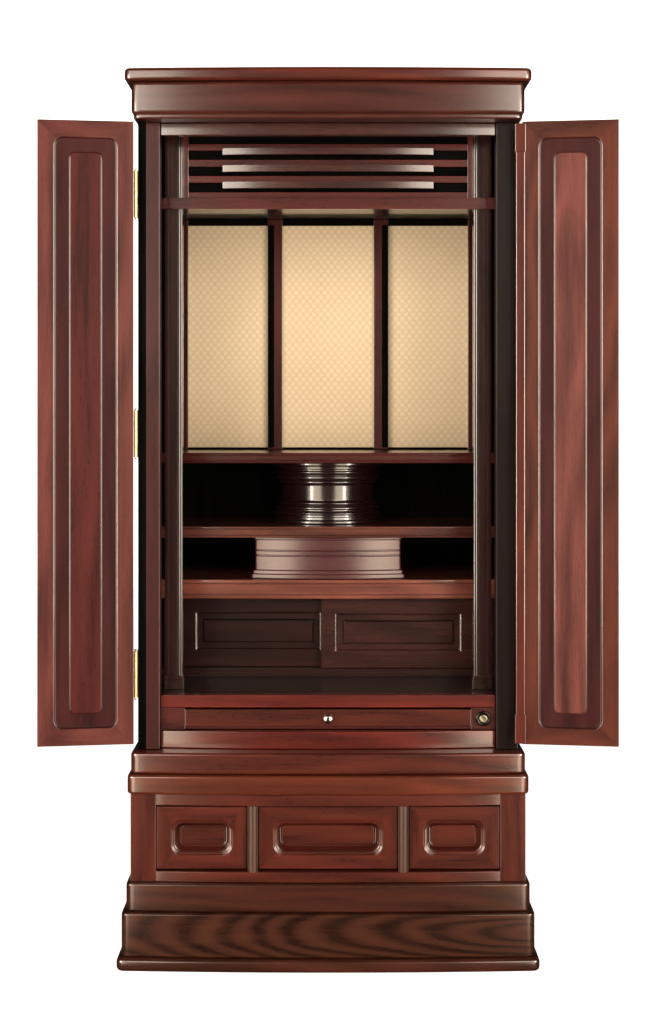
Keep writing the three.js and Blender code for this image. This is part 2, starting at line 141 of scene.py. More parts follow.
# Each kind's middle colour; its growth lines are darker and the wood between them is lighter.
woods = {
    "rosewood": {"mid": (0.049, 0.0077, 0.0038), "contrast": 0.7, "rings": 30, "figure": 0.4},
    "red": {"mid": (0.042, 0.0066, 0.0052), "contrast": 0.6, "rings": 22, "figure": 0.4},
    "russet": {"mid": (0.060, 0.0175, 0.0110), "contrast": 0.7, "rings": 22, "figure": 0.6},
    "umber": {"mid": (0.026, 0.0072, 0.0052), "contrast": 0.6, "rings": 30, "figure": 0.3},
    "brown": {"mid": (0.030, 0.0072, 0.0034), "contrast": 0.6, "rings": 30, "figure": 0.5, "gloss": 0.7},
    "cathedral": {"mid": (0.030, 0.0090, 0.0046), "contrast": 0.75, "rings": 76, "figure": 0.8,
                  "streaks": 0.50, "heart": (-0.34, 0.23, -0.055), "squash": 0.13, "sway": 2.2, "gloss": 0.6,
                  "specular": 0.06},
    "dark": {"mid": (0.015, 0.0042, 0.0036), "contrast": 0.6, "rings": 26, "figure": 0.3},
    # ebony: paints the shade over the whole right post
    "ebony": {"mid": (0.0070, 0.0036, 0.0034), "contrast": 0.5, "rings": 26, "figure": 0.2, "gloss": 0.15,
              "specular": 0.05},
    "maroon": {"mid": (0.050, 0.0115, 0.0065), "contrast": 0.7, "rings": 22, "figure": 0.6},
    "auburn": {"mid": (0.060, 0.0150, 0.0120), "contrast": 0.7, "rings": 22, "figure": 0.6},
    "mahogany": {"mid": (0.078, 0.0215, 0.0168), "contrast": 0.7, "rings": 22, "figure": 0.6},
    "scarlet": {"mid": (0.066, 0.0070, 0.0036), "contrast": 0.7, "rings": 30, "figure": 0.4},
    "walnut": {"mid": (0.034, 0.0074, 0.0050), "contrast": 0.6, "rings": 30, "figure": 0.3, "gloss": 0.6},
    "crest": {"mid": (0.048, 0.0080, 0.0042), "contrast": 0.7, "rings": 30, "figure": 0.4, "gloss": 0.65},
    "amber": {"mid": (0.062, 0.0110, 0.0034), "contrast": 0.7, "rings": 30, "figure": 0.4},
    # claret: the left post's wood, and also the darker wood that paints shade in the door coves
    "claret": {"mid": (0.030, 0.0062, 0.0060), "contrast": 0.5, "rings": 22, "figure": 0.3, "gloss": 0.35},
    # black: a dead black that paints shade inside the case, behind the transom slats, on the back frame's ribs
    # and on the left post; it also darkens the sliding doors' joints and the back frame's rails
    "black": {"mid": (0.0024, 0.0024, 0.0022), "contrast": 0.6, "rings": 26, "figure": 0.2, "gloss": 0.0,
              "specular": 0.0, "rough": 0.8},
    "lacquer": {"mid": (0.0045, 0.0028, 0.0026), "contrast": 0.4, "rings": 26, "figure": 0.2,
                "polish": 0.03, "grain": 0.0, "gloss": 0.7},
    "cherry": {"mid": (0.125, 0.0340, 0.0210), "contrast": 0.6, "rings": 26, "figure": 0.5},
    "plum": {"mid": (0.050, 0.0085, 0.0100), "contrast": 0.4, "rings": 26, "figure": 0.2, "polish": 0.24},
    "drum": {"mid": (0.0090, 0.0026, 0.0030), "contrast": 0.4, "rings": 26, "figure": 0.2, "polish": 0.17},
    "satin": {"mid": (0.052, 0.0190, 0.0095), "contrast": 0.5, "rings": 26, "figure": 0.3, "polish": 0.3,
              "gloss": 0.3},
    "pale": {"mid": (0.440, 0.2800, 0.1450), "contrast": 0.4, "rings": 40, "figure": 0.4, "rough": 0.55,
             "gloss": 0.1},
}
# How much each layer adds to the tone, how the rings run, the tones at which the wood is dark, middling
# and light, and how deep the pores are, with their height in metres
growth = {"streaks": 0.72, "wander": 0.24, "fibres": 0.16, "figure": 0.34, "plain": 0.06, "drift": 26,
          "sway": 5, "stretch": 0.17, "darkAt": 0.36, "midAt": 0.62, "lightAt": 0.92, "pores": 0.75,
          "poreDepth": 0.6, "height": 0.0004}
# Used where a kind says nothing else
polished = {"rough": 0.32, "specular": 0.12, "gloss": 0.95, "polish": 0.15, "grain": 0.05, "coat": 1.7}
seedStep = (0.731, 0.373, 0.217)  # from one board's place in the log to the next, in metres
turns = {"x": (0, 0, 0), "y": (0, 0, math.pi / 2), "z": (0, math.pi / 2, 0)}
made = {}


def wood(kind, along, seed):
    key = f"{kind}_{along}_{seed}"
    if key in made:
        return made[key]
    look = {**polished, "streaks": growth["streaks"], **woods[kind]}
    material, tree, shader = newTree(key)
    place = addNode(tree, "TexCoord").outputs["Object"]
    turned = addNode(tree, "Mapping", {"Vector": place, "Rotation": turns[along]}).outputs[0]
    shift = tuple(seed * step for step in seedStep)
    shifted = addNode(tree, "Mapping", {"Vector": turned, "Location": shift}).outputs[0]

    def noise(scale, **settings):
        vector = addNode(tree, "Mapping", {"Vector": shifted, "Scale": scale}).outputs[0]
        return addNode(tree, "TexNoise", {"Vector": vector, **settings}).outputs[0]

    wander = noise((1.2, 5, 5), Scale=1.6, Detail=2)
    rings = addNode(tree, "Mapping", {"Vector": shifted, "Scale": (growth["stretch"], 1, 1)}).outputs[0]
    if "heart" in look:  # the growth rings close round a point of the board, in metres
        middle = addNode(tree, "Mapping", {"Vector": turned, "Location": look["heart"]}).outputs[0]
        rings = addNode(tree, "Mapping", {"Vector": middle, "Scale": (look["squash"], 1, 1)}).outputs[0]
    sway = look.get("sway", growth["sway"] * look["figure"])
    arcs = addNode(tree, "TexWave", {"Vector": rings, "Scale": look["rings"] / 2,
                   "Distortion": sway, "Detail": 2, "Detail Scale": 1.1,
                   "Phase Offset": calc(tree, "MULTIPLY_ADD", wander, growth["drift"], seed)},
                   wave_type="RINGS", rings_direction="SPHERICAL").outputs[1]
    streaks = noise((1, 16, 16), Scale=5, Detail=6, Roughness=0.62, Distortion=0.35)
    fibres = noise((1, 42, 42), Scale=26, Detail=3)
    pores = noise((1, 24, 24), Scale=62, Detail=2)

    tone = calc(tree, "MULTIPLY", arcs, growth["figure"] * look["figure"] + growth["plain"])
    for layer, share in ((streaks, look["streaks"]), (wander, growth["wander"]), (fibres, growth["fibres"])):
        tone = calc(tree, "MULTIPLY_ADD", layer, share, tone)
    dark, light = (tuple(c * (1 + look["contrast"]) ** power for c in look["mid"]) for power in (-2, 1))
    stops = ((growth["darkAt"], dark), (growth["midAt"], look["mid"]), (growth["lightAt"], light))
    dashes = ramp(tree, pores, ((0.30, (0.45, 0.42, 0.42)), (0.42, (1, 1, 1))))
    colour = mixColour(tree, growth["pores"], ramp(tree, tone, stops), dashes, "MULTIPLY")
    tree.links.new(colour, shader.inputs["Base Color"])
    bump = addNode(tree, "Bump", {"Height": calc(tree, "MULTIPLY_ADD", pores, growth["poreDepth"], fibres),
                   "Strength": look["grain"], "Distance": growth["height"]})
    tree.links.new(bump.outputs[0], shader.inputs["Normal"])
    for socket, value in (("Roughness", "rough"), ("Specular IOR Level", "specular"),
                          ("Coat Weight", "gloss"), ("Coat Roughness", "polish"), ("Coat IOR", "coat")):
        shader.inputs[socket].default_value = look[value]
    made[key] = material
    return material


metalLook = {"cloud": 160, "dull": 1.5, "bright": 0.7}  # how fine its clouds are, and the polish in them


def metal(name, colour, worn, rough):
    material, tree, shader = newTree(name)
    place = addNode(tree, "TexCoord").outputs["Object"]
    cloudy = addNode(tree, "TexNoise", {"Vector": place, "Scale": metalLook["cloud"], "Detail": 4,
                     "Roughness": 0.6}).outputs[0]
    colours = ramp(tree, cloudy, ((0.3, worn), (0.6, colour)))
    tree.links.new(colours, shader.inputs["Base Color"])
    shine = addNode(tree, "MapRange", {"Value": cloudy, "To Min": rough * metalLook["dull"],
                    "To Max": rough * metalLook["bright"]}).outputs[0]
    tree.links.new(shine, shader.inputs["Roughness"])
    shader.inputs["Metallic"].default_value = 1
    return material


# The pattern's repeat and its height are in metres
brocadeLook = {"across": 0.0120, "up": 0.0147, "rows": 0.08, "line": (0.606, 0.458, 0.281),
               "ground": (0.65, 0.503, 0.328), "figure": (0.70, 0.553, 0.374), "height": 0.0003,
               "rough": 0.62, "sheen": 0.25}


def brocade():
    material, tree, shader = newTree("brocade")
    place = addNode(tree, "TexCoord").outputs["Object"]
    split = addNode(tree, "SeparateXYZ", {0: place})
    across, up = split.outputs[0], split.outputs[2]

    def wave(value, length):
        return calc(tree, "COSINE", calc(tree, "MULTIPLY", value, 2 * math.pi / length))

    # the blossoms stand in staggered rows, with the ground showing dark between them
    blossom = calc(tree, "MULTIPLY", wave(across, brocadeLook["across"]), wave(up, brocadeLook["up"]))
    ribs = calc(tree, "MULTIPLY", wave(up, brocadeLook["up"] / 2), brocadeLook["rows"])
    level = calc(tree, "ADD", calc(tree, "MULTIPLY_ADD", blossom, 0.5, ribs), 0.5)
    colour = ramp(tree, level, ((0.12, brocadeLook["line"]), (0.5, brocadeLook["ground"]),
                                (0.88, brocadeLook["figure"])))
    cloudy = addNode(tree, "TexNoise", {"Vector": place, "Scale": 9, "Detail": 3}).outputs[0]
    shade = ramp(tree, cloudy, ((0.3, (0.93, 0.92, 0.90)), (0.7, (1, 1, 1))))
    colour = mixColour(tree, 1.0, colour, shade, "MULTIPLY")
    tree.links.new(colour, shader.inputs["Base Color"])
    bump = addNode(tree, "Bump", {"Height": level, "Strength": 0.3, "Distance": brocadeLook["height"]})
    tree.links.new(bump.outputs[0], shader.inputs["Normal"])
    shader.inputs["Roughness"].default_value = brocadeLook["rough"]
    shader.inputs["Sheen Weight"].default_value = brocadeLook["sheen"]
    return material


brass = metal("brass", (0.64, 0.49, 0.27), (0.45, 0.33, 0.16), 0.36)
steel = metal("turned_steel", (0.52, 0.44, 0.40), (0.30, 0.25, 0.23), 0.16)
print("materials made")

# Shaping


def evenly(count):  # places from 0 to 1, with both ends
    return [step / count for step in range(count + 1)]


def addPrism(bm, points, axis, low, high):
    face = bm.faces.new([bm.verts.new((low, a, b) if axis == "x" else (a, b, low)) for a, b in points])
    grown = bmesh.ops.extrude_face_region(bm, geom=[face])
    moved = [v for v in grown["geom"] if isinstance(v, bmesh.types.BMVert)]
    bmesh.ops.translate(bm, verts=moved, vec=[(high - low) * (axis == name) for name in "xyz"])


def addBlock(bm, x0, x1, y0, y1, z0, z1):
    cube = bmesh.ops.create_cube(bm, size=1)
    place = Matrix.Translation(((x0 + x1) / 2, (y0 + y1) / 2, (z0 + z1) / 2))
    size = Matrix.Diagonal((x1 - x0, y1 - y0, z1 - z0, 1))
    bmesh.ops.transform(bm, matrix=place @ size, verts=cube["verts"])


def joinInto(bm, part):
    spare = bpy.data.meshes.new("spare")
    part.to_mesh(spare)
    part.free()
    bm.from_mesh(spare)
    bpy.data.meshes.remove(spare)


def sideSpan(side, near, far):
    return min(side * near, side * far), max(side * near, side * far)


def roundEdges(bm, edges, width, segments=3):
    bmesh.ops.bevel(bm, geom=list(edges), offset=width, offset_type="OFFSET", affect="EDGES",
                    segments=segments, profile=0.5, material=-1, clamp_overlap=True)


def sharpEdges(bm, angle=40):
    return [e for e in bm.edges if e.is_manifold and e.calc_face_angle() > math.radians(angle)]


def soften(bm, width=0.7, segments=2, angle=40):
    roundEdges(bm, sharpEdges(bm, angle), width, segments)


def sliceAlong(bm, half, count):
    for t in evenly(count)[1:-1]:
        geom = bm.verts[:] + bm.edges[:] + bm.faces[:]
        cut = (-half + 2 * half * t, 0, 0)
        bmesh.ops.bisect_plane(bm, geom=geom, plane_co=cut, plane_no=(1, 0, 0))


def bowFront(bm, half, sag, depthLimit=math.inf):
    for v in bm.verts:
        if v.co.y < depthLimit:
            v.co.y += sag * (v.co.x / half) ** 2


def finishPiece(name, bm, materials, body="cabinet", stands=(), inMetres=False, angle=32):
    bmesh.ops.remove_doubles(bm, verts=bm.verts, dist=weld / 1000 if inMetres else weld)
    if not inMetres:
        bmesh.ops.recalc_face_normals(bm, faces=bm.faces)
        bmesh.ops.transform(bm, matrix=toFrame, verts=bm.verts)
    for face in bm.faces:
        face.smooth = True
    for edge in bm.edges:
        edge.smooth = edge.calc_face_angle(0) < math.radians(angle)
    mesh = bpy.data.meshes.new(name)
    bm.to_mesh(mesh)
    bm.free()
    for material in materials if isinstance(materials, list) else [materials]:
        mesh.materials.append(material)
    piece = bpy.data.objects.new(name, mesh)
    bpy.context.scene.collection.objects.link(piece)
    shading = piece.modifiers.new("even_shading", "WEIGHTED_NORMAL")  # a flat board stays flat to its edges
    shading.keep_sharp = True
    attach(piece, body)
    if stands:
        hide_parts(*stands)
    return piece


# Boards with rounded front corners and a bowed front

layers = {
    "base_plate": {"half": 305.5, "front": -60, "bow": 9, "low": 0, "high": 18.6, "round": 5.5,
                   "wood": "brown"},
    "plinth_lower": {"half": 299.2, "front": -50, "bow": 8, "low": 18.6, "high": 81.8, "round": 3,
                     "wood": "cathedral"},
    "plinth_upper": {"half": 293.3, "front": -41, "bow": 8, "low": 81.8, "high": 122.4, "round": 3,
                     "wood": "brown"},
    "lower_top": {"half": 291.8, "front": -39, "bow": 8, "low": 250.6, "high": 278.7, "round": 4,
                  "wood": "amber"},
    "upper_base": {"half": 287.5, "front": -31, "bow": 8, "low": 278.7, "high": 310, "round": 4,
                   "wood": "rosewood"},
    "frieze": {"half": 285.3, "front": -44, "bow": 6, "low": 1236.2, "high": 1284, "round": 6,
               "wood": "walnut"},
    "top_board": {"half": 294.8, "front": -52, "bow": 9, "low": 1284, "high": 1302.8, "round": 5,
                  "wood": "crest"},
}
cornerRadius = 12
cornerSteps = 8
bowSteps = 40
sideways = 0.7  # a face turned this far to the side is a side, where the grain runs back
underBead = {"half": 282.5, "front": -40, "bow": 6, "low": 1230.2, "high": 1237.5, "round": 2.3}


def cornerCurve(start, pull, end):
    return [tuple((1 - t) ** 2 * a + 2 * t * (1 - t) * b + t * t * c for a, b, c in zip(start, pull, end))
            for t in evenly(cornerSteps)]


def bowedPlan(look, back, corner):
    half, front, bow = look["half"], look["front"], look["bow"]
    end = front + bow
    reach = half - corner
    bowEnd = front + bow * (reach / half) ** 2
    right = cornerCurve((reach, bowEnd), (half, end), (half, end + corner))
    middle = [-reach + 2 * reach * t for t in evenly(bowSteps)[1:-1]]
    curve = [(x, front + bow * (x / half) ** 2) for x in middle]
    left = [(-x, y) for x, y in reversed(right)]
    return [(half, back), (-half, back)] + left + curve + right


def addBowedBoard(bm, look, low, high, back=backDepth, corner=cornerRadius, segments=4):
    board = bmesh.new()
    addPrism(board, bowedPlan(look, back, corner), "z", low, high)
    # the edges round the top and the bottom, but for those along the back
    rim = [e for e in board.edges if abs(e.verts[0].co.z - e.verts[1].co.z) < weld
           and min(v.co.y for v in e.verts) < back - 1 and e.calc_face_angle(0) > 1]
    roundEdges(board, rim, look["round"], segments)
    joinInto(bm, board)


def makeLayers():
    for seed, (name, look) in enumerate(layers.items()):
        bm = bmesh.new()
        addBowedBoard(bm, look, look["low"], look["high"] - seam)
        if name == "frieze":
            addBowedBoard(bm, underBead, underBead["low"], underBead["high"])
        bmesh.ops.recalc_face_normals(bm, faces=bm.faces)
        for face in bm.faces:
            face.material_index = int(abs(face.normal.x) > sideways)
        plain = "brown" if look["wood"] == "cathedral" else look["wood"]
        looks = [wood(look["wood"], "x", seed), wood(plain, "y", seed)]
        finishPiece(name + "_wood", bm, looks, stands=[name])


makeLayers()
print("bowed boards made")

# Plain boards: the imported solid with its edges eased; each has its wood, its grain's direction and its easing

plainBoards = {
    "lower_case": ("brown", "z", 1.0), "upper_case": ("rosewood", "z", 1.0),
    "altar_floor": ("lacquer", "x", 0.8), "ceiling": ("lacquer", "x", 0.6),
    "lower_bottom": ("brown", "x", 0.6), "tray_frame": ("red", "x", 0.6),
    "track": ("dark", "x", 0.5), "header": ("red", "x", 0.8),
    "front_rail": ("scarlet", "x", 1.4), "tray_front": ("rosewood", "x", 0.9),
    "lower_divider_left": ("brown", "y", 0.6), "lower_divider_right": ("brown", "y", 0.6),
    "tray_box": ("pale", "x", 0.5), "drawer_left_box": ("pale", "y", 0.6),
    "drawer_centre_box": ("pale", "y", 0.6), "drawer_right_box": ("pale", "y", 0.6),
}
shadedLining = {"x": 0.2621, "y": 0.2281}  # inside these the upper case's inner faces are painted black as shade, in metres
packed = {"near": 0.00002, "flat": 0.01}  # nearer points and flatter edges are joined, in metres and radians


def bodyOf(node):
    return nodes[node]["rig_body"]


def makePlainBoards():
    for seed, (name, (kind, along, ease)) in enumerate(plainBoards.items()):
        bm = bmesh.new()
        bm.from_mesh(nodes[name].data)
        bmesh.ops.remove_doubles(bm, verts=bm.verts, dist=packed["near"])
        bmesh.ops.dissolve_limit(bm, angle_limit=packed["flat"], verts=bm.verts, edges=bm.edges)
        soften(bm, ease * 0.001)
        if name == "upper_case":
            for face in bm.faces:
                spot = face.calc_center_median()
                face.material_index = int(abs(spot.x) < shadedLining["x"] and spot.y < shadedLining["y"])
        looks = [wood(kind, along, 20 + seed)]
        # painted shade: the case's inner walls get the dead black wood
        if name == "upper_case":
            looks.append(wood("black", along, 20))
        finishPiece(name + "_wood", bm, looks, bodyOf(name), [name], inMetres=True)


makePlainBoards()
print("plain boards made")

# Bowed rails between the posts, and the shelves

bowedRails = {
    "lintel": {"half": 246.7, "front": 1, "bow": 7, "thick": 16, "low": 1211.9, "high": 1229.9,
               "wood": "umber", "ease": 1.4},
    "bowed_rail": {"half": 246.7, "front": 1, "bow": 13, "thick": 20, "low": 310, "high": 335.6,
                   "wood": "scarlet", "ease": 1.6},
}
shelves = {
    "shelf_lower": {"front": 165, "bow": 9, "low": 513.2, "high": 543.4, "grooves": (519.6, 536.8),
                    "wood": "cherry"},
    "shelf_middle": {"front": 168, "bow": 8, "low": 608.2, "high": 626.5, "grooves": (612.4, 622.2),
                     "wood": "russet"},
    "shelf_upper": {"front": 185, "bow": 6, "low": 724.3, "high": 741.4, "grooves": (728.4, 737.2),
                    "wood": "red"},
}
shelfHalf = 261.7
insideBack = 407.7
slices = 48
noseDepth = 20  # only this much of a shelf is bowed
nose = {  # how far back from the front, and how far in from the underside or the top
    "under": ((1.6, 0), (0.4, 0.6), (0, 1.8)), "over": ((0, 2), (0.6, 0.7), (2, 0))}
groove = {"wide": 1.0, "lip": 0.4, "deep": 3.0}


def makeBowedRails():
    for seed, (name, look) in enumerate(bowedRails.items()):
        bm = bmesh.new()
        half, front = look["half"], look["front"]
        addBlock(bm, -half, half, front, front + look["thick"], look["low"], look["high"])
        soften(bm, look["ease"], 3)
        sliceAlong(bm, half, slices)
        bowFront(bm, half, look["bow"], front + look["thick"] / 2)
        finishPiece(name + "_wood", bm, wood(look["wood"], "x", 40 + seed), stands=[name])


def grooveStops(centre, front):
    wide, lip, deep = groove["wide"], groove["lip"], groove["deep"]
    lower = [(front, -wide), (front + lip, -wide / 2), (front + deep, -wide / 3)]
    return [(y, centre + z) for y, z in lower] + [(y, centre - z) for y, z in reversed(lower)]


def makeShelves():
    for seed, (name, look) in enumerate(shelves.items()):
        front, low, high = look["front"], look["low"], look["high"] - seam
        outline = [(insideBack, low)] + [(front + y, low + z) for y, z in nose["under"]]
        for centre in look["grooves"]:
            outline += grooveStops(centre, front)
        outline += [(front + y, high - z) for y, z in nose["over"]] + [(insideBack, high)]
        bm = bmesh.new()
        addPrism(bm, outline, "x", -shelfHalf, shelfHalf)
        sliceAlong(bm, shelfHalf, slices)
        bowFront(bm, shelfHalf, look["bow"], front + noseDepth)
        finishPiece(name + "_wood", bm, wood(look["wood"], "x", 50 + seed), stands=[name])


makeBowedRails()
makeShelves()
print("rails and shelves made")

# Posts and pillars

post = {"inner": 247, "outer": 278.9, "depth": 30, "crown": 0.02, "low": 310.3, "high": 1229.9, "ease": 1.2,
        "shade": 267,  # painted shade: the first, darker wood begins here, and the other is inside it
        # painted shade: black on the left post's outer strip, and dark ebony over the whole right post
        "woods": {"left": ("black", "claret"), "right": ("ebony", "ebony")}}
pillar = {"inner": 218.9, "outer": 245.2, "front": 63, "back": 85, "bead": 1.6, "hollow": 0.5,
          "low": 388.3, "high": 1229.9, "foot": 402.7, "collar": 409, "proud": 1.6}


def makePosts():
    for word, side in sides.items():
        middle = side * (post["inner"] + post["outer"]) / 2
        half = (post["outer"] - post["inner"]) / 2
        plan = [(middle - half + 2 * half * t, post["crown"] * (2 * t - 1) ** 2) for t in evenly(16)]
        plan = [(middle + half, post["depth"]), (middle - half, post["depth"])] + plan
        bm = bmesh.new()
        addPrism(bm, plan, "z", post["low"], post["high"])
        soften(bm, post["ease"], 2, 50)
        # faces beyond "shade" take the first wood, which paints the shade
        for face in bm.faces:
            face.material_index = int(side * face.calc_center_median().x < post["shade"])
        looks = [wood(kind, "z", 60 + side) for kind in post["woods"][word]]
        finishPiece(f"post_{word}_wood", bm, looks, stands=[f"post_{word}"])


def pillarPlan(side):
    inner, front, radius = pillar["inner"], pillar["front"], pillar["bead"]
    plan = [(inner, pillar["back"])]
    for centre in (inner + radius, inner + 3 * radius):
        plan += [(centre - radius * math.cos(math.pi * t), front + radius - radius * math.sin(math.pi * t))
                 for t in evenly(8)]
    start = inner + 4 * radius
    width = pillar["outer"] - start
    plan += [(start + width * t, front + pillar["hollow"] * (2 * t - 1) ** 2) for t in evenly(16)[1:]]
    plan += [(pillar["outer"], pillar["back"])]
    return [(side * x, y) for x, y in plan]


def makePillars():
    foot = (pillar["proud"], pillar["low"], pillar["foot"])
    collar = (pillar["proud"] / 2, pillar["foot"], pillar["collar"])
    for word, side in sides.items():
        bm = bmesh.new()
        addPrism(bm, pillarPlan(side), "z", pillar["low"], pillar["high"])
        for grow, low, high in (foot, collar):
            block = bmesh.new()
            x0, x1 = sideSpan(side, pillar["inner"] - grow, pillar["outer"] + grow)
            addBlock(block, x0, x1, pillar["front"] - grow, pillar["back"], low, high)
            soften(block)
            joinInto(bm, block)
        finishPiece(f"pillar_{word}_wood", bm, wood("dark", "z", 64 + side), stands=[f"pillar_{word}"])


makePosts()
makePillars()
print("posts and pillars made")

# Transom and its bent slats

transom = {"half": 218.5, "front": 66, "proud": 9, "board": 6, "low": 1127.1, "high": 1229.9, "side": 8.4,
           "rails": ((1127.1, 1135.7), (1150.2, 1160.2), (1174.1, 1184.6), (1198.6, 1208.2))}
slat = {"half": 158, "thick": 8, "bow": 8, "height": 10.6, "lows": (1140.3, 1165.2, 1190.8), "slices": 40}


def makeTransom():
    half, front = transom["half"], transom["front"]
    board = front + transom["proud"]
    # painted shade: a dead black board behind the slats stands for the dark open space seen between them
    bm = bmesh.new()
    addBlock(bm, -half, half, board, board + transom["board"], transom["low"], transom["high"])
    finishPiece("transom_shade_board", bm, wood("black", "x", 69), stands=["transom"])

    bm = bmesh.new()
    for side in sides.values():
        x0, x1 = sideSpan(side, half - transom["side"], half)
        addBlock(bm, x0, x1, front, board - slip, transom["low"], transom["high"])
    for low, high in transom["rails"]:
        addBlock(bm, transom["side"] - half, half - transom["side"], front, board - slip, low, high)
    soften(bm)
    finishPiece("transom_wood", bm, wood("red", "x", 70), stands=["transom"])

    for index, low in enumerate(slat["lows"]):
        half, foremost = slat["half"], front - seam - slat["thick"] - slat["bow"]
        bm = bmesh.new()
        addBlock(bm, -half, half, foremost, foremost + slat["thick"], low, low + slat["height"])
        soften(bm)
        sliceAlong(bm, half, slat["slices"])
        bowFront(bm, half, slat["bow"])
        name = f"transom_slat_{index + 1}"
        finishPiece(name + "_wood", bm, wood("umber", "x", 72 + index), stands=[name])


makeTransom()
print("transom made")

# Lower cabinet's face frame

lowerFace = {"half": 287.3, "front": -24, "thick": 10, "low": 122.7, "high": 250.3, "openLow": 137.6,
             "openHigh": 233.4, "openHalf": 250.2, "mullionInner": 101.6, "mullionOuter": 117.2,
             "railBow": 8, "radius": 7.8, "slices": 40}


def makeLowerFace():
    look = lowerFace
    half, front, back = look["half"], look["front"], look["front"] + look["thick"]
    bm = bmesh.new()
    for side in sides.values():
        x0, x1 = sideSpan(side, look["openHalf"], half)
        addBlock(bm, x0, x1, front, back, look["low"], look["high"])
    soften(bm, 1.0)
    finishPiece("lower_stiles", bm, wood("rosewood", "z", 80), stands=["lower_face"])

    bm = bmesh.new()
    for low, high in ((look["low"], look["openLow"]), (look["openHigh"], look["high"])):
        addBlock(bm, -look["openHalf"], look["openHalf"], front - look["railBow"], back, low, high)
    soften(bm, 1.2, 3)
    sliceAlong(bm, look["openHalf"], look["slices"])
    bowFront(bm, look["openHalf"], look["railBow"], front)
    finishPiece("lower_rails", bm, wood("rosewood", "x", 81), stands=["lower_face"])

    bm = bmesh.new()
    middle = (look["mullionInner"] + look["mullionOuter"]) / 2
    for side in sides.values():
        curve = [(side * middle + look["radius"] * math.cos(math.pi * t),
                  front - look["radius"] * math.sin(math.pi * t)) for t in evenly(16)]
        addPrism(bm, curve + [(side * middle - look["radius"], back), (side * middle + look["radius"], back)],
                 "z", look["openLow"], look["openHigh"])
    finishPiece("lower_mullions", bm, wood("satin", "z", 82), stands=["lower_face"], angle=40)


makeLowerFace()
print("lower face made")

# Carved panels: a stack of rounded rectangles, each (span, corner radius, depth), joined one to the next


def inset(span, margin):
    x0, x1, z0, z1 = span
    return (x0 + margin, x1 - margin, z0 + margin, z1 - margin)


def easedFace(span, front, ease):
    return [(span, 0.6, front + ease), (inset(span, ease * 0.3), 0.6, front + ease * 0.3),
            (inset(span, ease), 0.5, front)]


def roundedOutline(span, radius, y, segments):
    plate = bmesh.new()
    x0, x1, z0, z1 = span
    corners = [plate.verts.new((x, y, z)) for x, z in ((x0, z0), (x1, z0), (x1, z1), (x0, z1))]
    plate.faces.new(corners)
    bmesh.ops.bevel(plate, geom=corners, offset=radius, offset_type="OFFSET", affect="VERTICES",
                    segments=segments, profile=0.5, material=-1)
    plate.faces.ensure_lookup_table()
    spots = [v.co.copy() for v in plate.faces[0].verts]
    plate.free()
    return spots


def carve(bm, stops, segments=6):
    face, before = None, None
    for span, radius, y in stops:
        spots = roundedOutline(span, radius, y, segments)
        if face is None:
            face = bm.faces.new([bm.verts.new(spot) for spot in spots])
            firstSpots = spots
        else:
            grown = bmesh.ops.extrude_face_region(bm, geom=[face])["geom"]
            if before is not firstSpots:
                bmesh.ops.delete(bm, geom=[face], context="FACES_ONLY")  # only the first and the last stay
            face = next(part for part in grown if isinstance(part, bmesh.types.BMFace))
            matched = [min(range(len(before)), key=lambda i: (v.co - before[i]).length_squared)
                       for v in face.verts]
            for v, index in zip(face.verts, matched):
                v.co = spots[index]
        before = spots


def mitre(bm, span, frameWidth, shadedCoveWidth=0):
    # rails are material 1, the panel inside the frame is 2, and the cove round the panel is 3, a darker wood
    # that paints the shade in the cove
    x0, x1, z0, z1 = span
    for face in bm.faces:
        spot = face.calc_center_median()
        fromSide = min(spot.x - x0, x1 - spot.x)
        fromEnd = min(spot.z - z0, z1 - spot.z)
        nearest = min(fromSide, fromEnd)
        if nearest > frameWidth:
            face.material_index = 3 if nearest < frameWidth + shadedCoveWidth else 2
        elif fromEnd < fromSide:
            face.material_index = 1


# Drawer fronts with their finger dishes

drawer = {"front": -20, "back": 4, "low": 140, "high": 230.6, "ease": 0.9,
          "spans": {"left": (-249, -118.6), "centre": (-100.2, 100.2), "right": (118.6, 249)}}
dish = {"edge": 25.6, "border": 19.6, "low": 164.4, "high": 206.6, "radius": 12, "tighter": 0.9}
dishStops = (  # margin inside the dish's mouth, and depth
    (-5.4, 0), (-4.9, 0.12), (-4.4, 0.5), (-4.0, 1.3), (-3.4, 2.1), (-2.4, 2.5), (-0.9, 2.5), (-0.3, 2.7),
    (0.2, 3.3), (0.7, 5), (1.4, 10), (2.4, 16), (3.2, 19), (4.4, 20.4), (5.4, 20.6), (6.0, 20.2), (6.5, 19),
    (6.9, 17.8), (7.5, 17.2), (8.3, 17))


def makeDrawerFronts():
    for seed, (word, (x0, x1)) in enumerate(drawer["spans"].items()):
        front = drawer["front"]
        span = (x0, x1, drawer["low"], drawer["high"])
        mouth = (x0 + dish["edge"], x1 - dish["edge"], dish["low"], dish["high"])
        stops = [(span, 0.6, drawer["back"])] + easedFace(span, front, drawer["ease"])
        stops += [(inset(mouth, margin), dish["radius"] - margin * dish["tighter"], front + depth)
                  for margin, depth in dishStops]
        bm = bmesh.new()
        carve(bm, stops)
        mitre(bm, span, dish["border"])
        looks = [wood("rosewood", along, place + seed) for along, place in (("z", 90), ("x", 93), ("x", 96))]
        name = f"drawer_{word}_front"
        finishPiece(name + "_wood", bm, looks, f"drawer_{word}", [name])


makeDrawerFronts()
print("drawer fronts made")

# Sliding doors of the low cupboard

